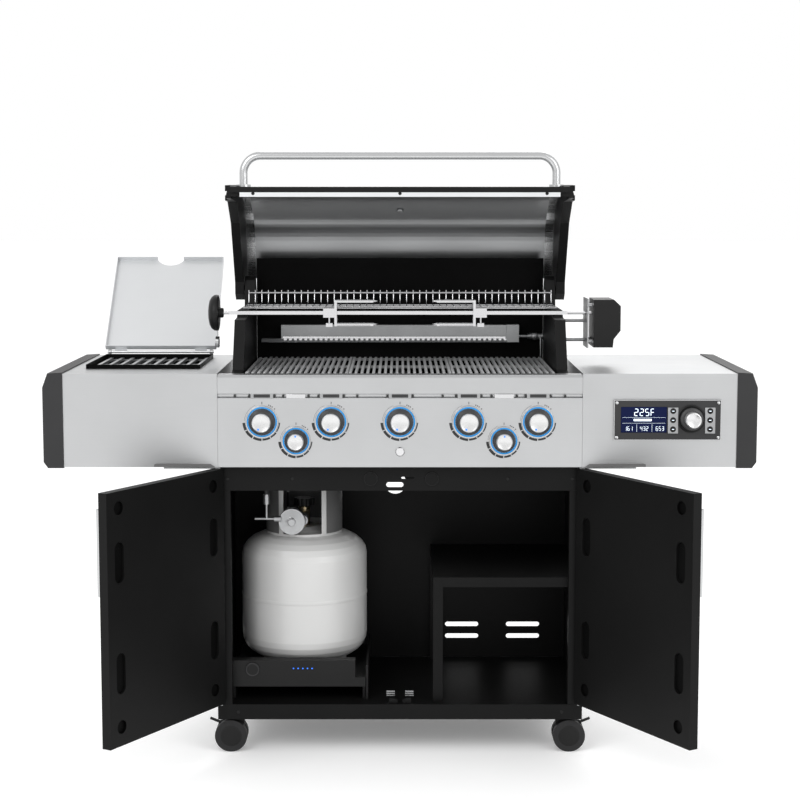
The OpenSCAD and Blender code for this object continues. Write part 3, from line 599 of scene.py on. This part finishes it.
def build_rear_burner():
    """Ports across the burner's face, its bright lip, its end fitting and its igniter wire."""
    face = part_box("rear_burner")[0].y + 0.010
    pipe_z = 0.952
    left, right = -0.298, 0.268
    bm = bmesh.new()
    for i in range(54):
        x = left + 0.004 + i * (right - left - 0.008) / 53
        for z in (0.958, 0.967, 0.976):
            lathe(bm, [(0, -0.0002), (0.0013, -0.0002), (0.0015, 0.0002)], (x, face, z), steps=8)
    finish_mesh("rear_burner_ports", bm, "zinc", "cart", smooth=False)
    bm = bmesh.new()
    add_box(bm, (left, face - 0.0085, 0.9472), (right, face - 0.0070, 0.9525))
    for i in range(44):
        x = left + 0.003 + i * (right - left - 0.008) / 43
        add_box(bm, (x, face - 0.0085, 0.9425), (x + 0.0075, face - 0.0070, 0.9474))
    finish_mesh("rear_burner_lip", bm, "chrome", "cart", 0.0003)
    pipe_y = face + 0.010
    bm = bmesh.new()
    profile = [(0, 0), (0.0062, 0.0006), (0.0062, 0.010), (0.0095, 0.0125), (0.0105, 0.019), (0.0095, 0.0255),
               (0.0062, 0.028), (0.0062, 0.036), (0, 0.0366)]
    lathe(bm, profile, (0.324, pipe_y, pipe_z), "X", 24)
    finish_mesh("rear_burner_fitting", bm, "zinc", "cart")
    path = [(0.356, pipe_y - 0.011, pipe_z), (0.357, pipe_y - 0.016, pipe_z - 0.010),
            (0.357, pipe_y - 0.017, pipe_z - 0.027), (0.357, pipe_y - 0.017, pipe_z - 0.050)]
    tube_curve("igniter_lead", [path], 0.0018, "zinc", "cart", 2)


# ---------- gas cylinder and its scale ----------

def build_cylinder_details():
    """The weld seam round the cylinder and the painted skin of its two-part collar."""
    low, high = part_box("tank_body")
    centre = middle("tank_body")
    r = (high.x - low.x) / 2
    bm = bmesh.new()
    seam = low.z + 0.170
    lathe(bm, [(r - 0.0002, -0.0055), (r + 0.0007, -0.0035), (r + 0.0011, 0), (r + 0.0007, 0.0035),
               (r - 0.0002, 0.0055)], (centre.x, centre.y, seam), "Z", 96)
    finish_mesh("cylinder_seam", bm, "tank", "cart")
    bm = bmesh.new()
    collar_r = 0.0925
    z0 = high.z - 0.105
    section = [(collar_r + 0.0004, z0), (collar_r + 0.0006, high.z - 0.001), (collar_r - 0.0002, high.z + 0.0004),
               (collar_r - 0.0040, high.z + 0.0004), (collar_r - 0.0046, high.z - 0.001),
               (collar_r - 0.0046, z0 + 0.012)]
    steps = 24
    for start, end in ((-52, 118), (122, 232)):
        points = []
        for k in range(steps + 1):
            a = math.radians(start + (end - start) * k / steps)
            points.append([bm.verts.new((centre.x + reach * math.cos(a), centre.y + reach * math.sin(a), z))
                           for reach, z in section])
        for one, two in zip(points, points[1:]):
            for k in range(len(section) - 1):
                bm.faces.new((one[k], one[k + 1], two[k + 1], two[k]))
    finish_mesh("collar_skin", bm, "collar", "cart")


def build_scale_details():
    """The row of lights and the knob's ring on the front of the cylinder's tray."""
    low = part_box("tank_scale")[0]
    bm = bmesh.new()
    y = low.y + 0.005
    for k in range(5):
        x = middle("tank_body").x - 0.018 + 0.011 * k
        lathe(bm, [(0, -0.0006), (0.0014, -0.0006), (0.0018, 0.0002)], (x, y, low.z + 0.0765), steps=12)
    finish_mesh("scale_leds", bm, "led", "cart")
    bm = bmesh.new()
    x = low.x + 0.049
    lathe(bm, [(0.013, -0.0046), (0.0145, -0.0052), (0.0160, -0.0046), (0.0160, 0.0002)],
          (x, y, low.z + 0.0748), steps=32)
    finish_mesh("scale_knob_ring", bm, "bezel", "cart")


def build_regulator_details():
    """The round stepped cover of the regulator."""
    x = middle("tank_body").x - 0.024
    bm = bmesh.new()
    origin = (x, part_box("regulator")[0].y, 0.533)
    lathe(bm, [(0, -0.0012), (0.008, -0.0012), (0.0095, 0.0002), (0.0095, 0.0100), (0.012, 0.0112), (0.026, 0.0116),
               (0.0300, 0.0122), (0.0316, 0.0140), (0.0316, 0.0200), (0.0322, 0.0205), (0.0322, 0.0240)], origin)
    finish_mesh("regulator_cover", bm, "zinc", "cart", 0.0003)


# ---------- lid ----------

def build_thermometer():
    """The dial's rim, marks and needle on the lid's slope, and its nut inside."""
    place = Matrix.Translation(THERMOMETER_PLACE) @ Matrix.Rotation(THERMOMETER_TILT, 4, "X")
    bm = bmesh.new()
    lathe(bm, [(0.0290, 0.0162), (0.0320, 0.0172), (0.0356, 0.0150), (0.0364, 0.0100), (0.0364, 0.0006)],
          (0, 0, 0), "Z", 64)
    bmesh.ops.transform(bm, matrix=place, verts=bm.verts)
    finish_mesh("thermometer_rim", bm, "chrome", "lid")
    bm = bmesh.new()
    for k in range(9):
        a = math.radians(225 - 33.75 * k)
        mark = Matrix.Rotation(a, 4, "Z") @ Matrix.Translation((0.0235, 0, 0.0163))
        bmesh.ops.create_cube(bm, size=1, matrix=mark @ Matrix.Diagonal((0.006, 0.0008, 0.0003, 1)))
    needle = Matrix.Rotation(math.radians(205), 4, "Z") @ Matrix.Translation((0.008, 0, 0.0167))
    bmesh.ops.create_cube(bm, size=1, matrix=needle @ Matrix.Diagonal((0.022, 0.0012, 0.0004, 1)))
    bmesh.ops.transform(bm, matrix=place, verts=bm.verts)
    finish_mesh("thermometer_marks", bm, "ink", "lid", smooth=False)
    bm = bmesh.new()
    lathe(bm, [(0, -0.0240), (0.0075, -0.0240), (0.0085, -0.0225), (0.0085, -0.0195)], (0, 0, 0), "Z", 24)
    bmesh.ops.transform(bm, matrix=place, verts=bm.verts)
    finish_mesh("thermometer_nut", bm, "zinc", "lid")


def build_lid_lip():
    """The dark band with its screws, and the stainless strip along the lid's front edge in the lighter steel copy,
    a painted highlight.
    """
    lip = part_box("lid_shell")[0].y
    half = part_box("lid_shell")[1].x
    bm = bmesh.new()
    add_box(bm, (-half, lip - 0.0016, 1.3135), (half, lip - 0.0002, 1.3262))
    for x in (-0.34, 0.0, 0.34):
        lathe(bm, [(0, 0.0002), (0.0026, 0.0002), (0.0040, 0.0012), (0.0040, 0.0030)],
              (x, lip - 0.0032, 1.3110), "Y", 16)
    finish_mesh("lid_lip_band", bm, "casting", "lid", 0.0004)
    bm = bmesh.new()
    add_box(bm, (-half + 0.022, lip - 0.0014, 1.3030), (half - 0.022, lip - 0.0002, 1.3134))
    finish_mesh("lid_lip_strip", bm, "painted_highlight_steel", "lid", 0.0003)


# ---------- rotisserie ----------

def build_spit_details():
    """The round grip, its hanging counterweight and the forks' tapered points."""
    axis = SPIT_AXIS
    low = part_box("spit_handle")[0]
    bm = bmesh.new()
    lathe(bm, [(0, 0), (0.018, 0.0006), (0.030, 0.0030), (0.0385, 0.0080), (0.0425, 0.0140), (0.0433, 0.0190),
               (0.0425, 0.0235), (0.0380, 0.0250), (0.0125, 0.0250), (0.0115, 0.0350), (0.0085, 0.0360),
               (0, 0.0360)],
          (low.x - 0.0004, axis.y, axis.z), "X", 64)
    grip = finish_mesh("spit_grip", bm, "plastic", "spit")
    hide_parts("spit_handle")
    bm = bmesh.new()
    lathe(bm, [(0, 0), (0.0125, 0.0002), (0.0140, 0.0015), (0.0140, 0.0090), (0.0125, 0.0102), (0, 0.0104)],
          (low.x + 0.0148, axis.y, axis.z - 0.070), "X", 40)
    add_box(bm, (low.x + 0.0190, axis.y - 0.004, axis.z - 0.066),
            (low.x + 0.0220, axis.y + 0.004, axis.z - 0.036))
    finish_mesh("spit_weight", bm, "steel_lid", "spit", 0.0004)
    tip = [(0.0030, 0), (0.0030, 0.080), (0.0022, 0.090), (0.0003, 0.0995)]
    bm = bmesh.new()
    for x, way in ((-0.170, 1), (0.194, -1)):
        base = x + way * 0.016
        for s in (-1, 1):
            for t in (-1, 1):
                profile = [(r, way * w) for r, w in tip]
                lathe(bm, profile, (base, axis.y + s * 0.019, axis.z + t * 0.028), "X", 14)
    finish_mesh("fork_points", bm, "chrome", "spit")


def build_motor_details():
    """Screw heads at the corners of the motor's inner face."""
    low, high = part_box("motor_housing")
    bm = bmesh.new()
    for y in (low.y + 0.012, high.y - 0.012):
        for z in (low.z + 0.012, high.z - 0.012):
            lathe(bm, [(0, 0.0002), (0.003, 0.0002), (0.0042, 0.0014), (0.0042, 0.0040)],
                  (low.x - 0.004, y, z), "X", 16)
    finish_mesh("motor_screws", bm, "zinc", "cart")


# ---------- cabinet ----------

SCREW_HEAD = [(0, -0.0016), (0.0028, -0.0014), (0.0042, 0.0000), (0.0042, 0.001)]


def build_cabinet_details():
    """Screw heads on the frame, the rims of the magnetic catches and the ribs of the floor's catches."""
    bm = bmesh.new()
    low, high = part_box("front_rail")
    for x in (-0.40, -0.25, 0.25, 0.40):
        lathe(bm, SCREW_HEAD, (x, low.y + 0.004, low.z + 0.028), steps=16)
    base_low, base_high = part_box("base_frame")
    for x in (-0.38, 0.38):
        lathe(bm, SCREW_HEAD, (x, base_low.y, base_low.z + 0.018), steps=16)
    finish_mesh("frame_screws", bm, "plastic", "cart")
    bm = bmesh.new()
    for x in (-0.068, 0.074):
        lathe(bm, [(0.0152, 0.0006), (0.0156, 0.0008), (0.0156, 0.0034), (0.0150, 0.0036)],
              (x, low.y, high.z - 0.028), steps=40)
    finish_mesh("catch_rims", bm, "rubber", "cart")
    bm = bmesh.new()
    for x in (-0.022, 0.022):
        for k in range(3):
            z = base_high.z + 0.005 * k
            add_box(bm, (x - 0.010, base_low.y + 0.036, z + 0.001), (x + 0.010, base_low.y + 0.040, z + 0.004))
    finish_mesh("floor_catches", bm, "zinc", "cart", 0.0004)


def build_door_pocket_shade():
    """Near-black sheets at the bottoms of the pockets pressed into the doors' inner faces: painted shade for the
    recesses.
    """
    low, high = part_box("door_left")
    bottom, height = low.z, high.z - low.z
    opened = math.radians(DOOR_OPEN_DEGREES)
    for side, body in ((-1, "left_door"), (1, "right_door")):
        pin = Vector((side * HINGE_X, HINGE_Y, 0))
        turn = Matrix.Translation(pin) @ Matrix.Rotation(side * opened, 4, "Z")
        bm = bmesh.new()
        for reach in (0.034, 0.376):
            x = -side * reach
            for share in (0.075, 0.935):
                lathe(bm, [(0, 0.0052), (0.0146, 0.0052), (0.0148, 0.0108)],
                      (x, 0, bottom + height * share), steps=32)
            for share in (0.287, 0.722):
                z = bottom + height * share
                add_box(bm, (x - 0.0147, 0.0050, z - 0.030), (x + 0.0147, 0.0054, z + 0.030))
                for end in (-0.030, 0.030):
                    lathe(bm, [(0, 0.0052), (0.0147, 0.0052)], (x, 0, z + end), steps=32)
        bmesh.ops.transform(bm, matrix=turn, verts=bm.verts)
        # The sheets take the near-black enamel, darker than the doors' paint, as painted shade.
        finish_mesh(body + "_pocket_painted_shade", bm, "enamel", body, smooth=False)


def build_caster_details():
    """Hub caps on the four casters' wheels."""
    for key in ("fl", "fr", "bl", "br"):
        low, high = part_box("wheel_" + key)
        centre = middle("wheel_" + key)
        bm = bmesh.new()
        for face, way in ((low.y, -1), (high.y, 1)):
            profile = [(0, way * 0.0012), (0.020, way * 0.0012), (0.0245, way * 0.0006), (0.0255, -way * 0.0004)]
            lathe(bm, profile, (centre.x, face, centre.z), steps=40)
        finish_mesh("hub_cap_" + key, bm, "plastic", "roller_" + key)


def build_shelf_details():
    """The brackets under the shelves' inner ends, the side burner's enamelled bowl and the cap screws."""
    corners = [(0.426, 0.6845), (0.436, 0.6915), (0.560, 0.6925), (0.566, 0.6905), (0.566, 0.6845)]
    bm = bmesh.new()
    for side in (-1, 1):
        front = [bm.verts.new((side * x, FACE_Y - 0.0012, z)) for x, z in corners]
        back = [bm.verts.new((side * x, FACE_Y - 0.0001, z)) for x, z in corners]
        bm.faces.new(front)
        bm.faces.new(back)
        for k in range(len(corners)):
            n = (k + 1) % len(corners)
            bm.faces.new((front[k], front[n], back[n], back[k]))
    finish_mesh("shelf_brackets", bm, "collar", "cart", 0.0003)
    low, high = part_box("side_burner")
    inner = 0.0034
    thick = 0.0006
    base = 0.8404
    rim = SHELF_TOP - 0.010
    bm = bmesh.new()
    add_box(bm, (low.x + inner, low.y + inner, base), (high.x - inner, high.y - inner, base + thick))
    for y in (low.y + inner, high.y - inner - thick):
        add_box(bm, (low.x + inner, y, base), (high.x - inner, y + thick, rim))
    for x in (low.x + inner, high.x - inner - thick):
        add_box(bm, (x, low.y + inner, base), (x + thick, high.y - inner, rim))
    finish_mesh("burner_bowl_enamel", bm, "enamel", "cart", smooth=False)
    bm = bmesh.new()
    for side in (-1, 1):
        for z in (0.72, 0.86):
            for y in (depth(120), depth(400)):
                lathe(bm, [(0, 0.0009 * side), (0.0032, 0.0008 * side), (0.0048, 0), (0.0048, -0.001 * side)],
                      (side * HALF_WIDTH, y, z), "X", 16)
    finish_mesh("cap_screws", bm, "zinc", "cart")


# ---------- stage ----------

def build_stage():
    """The white floor, the even white surround and three soft lights."""
    mesh = bpy.data.meshes.new("floor")
    bm = bmesh.new()
    bmesh.ops.create_circle(bm, cap_ends=True, segments=96, radius=60)
    bm.to_mesh(mesh)
    bm.free()
    floor = bpy.data.objects.new("floor", mesh)
    bpy.context.scene.collection.objects.link(floor)
    paper = surface("floor_paper", (0.94, 0.94, 0.94), 0.8, 0, 0.004, 60, relief=0.02)
    shader = paper.node_tree.nodes["Principled BSDF"]
    shader.inputs["Emission Color"].default_value = (1, 1, 1, 1)
    shader.inputs["Emission Strength"].default_value = 0.16
    floor.data.materials.append(paper)
    world = bpy.data.worlds.new("studio")
    world.use_nodes = True
    world.node_tree.nodes["Background"].inputs["Color"].default_value = (1, 1, 1, 1)
    world.node_tree.nodes["Background"].inputs["Strength"].default_value = 1.0
    bpy.context.scene.world = world
    lights = (("key", (-2.6, -3.4, 3.4), 90, 2.6), ("fill", (2.8, -3.0, 2.4), 45, 2.4),
              ("back", (0.5, 2.8, 3.2), 40, 2.6))
    for name, place, power, size in lights:
        data = bpy.data.lights.new(name, "AREA")
        data.energy = power
        data.size = size
        light = bpy.data.objects.new(name, data)
        light.location = place
        aim = Vector((0, 0, 0.8)) - Vector(place)
        light.rotation_euler = aim.to_track_quat("-Z", "Y").to_euler()
        bpy.context.scene.collection.objects.link(light)
    bpy.context.scene.view_settings.view_transform = "Standard"


add_camera()
finish_cad_nodes()
build_knobs()
build_panel_trim()
build_screen()
build_control_border()
build_keypads()
build_dial()
build_warming_rack()
build_rear_burner()
build_cylinder_details()
build_scale_details()
build_regulator_details()
build_thermometer()
build_lid_lip()
build_spit_details()
build_motor_details()
build_cabinet_details()
build_door_pocket_shade()
build_caster_details()
build_shelf_details()
build_stage()
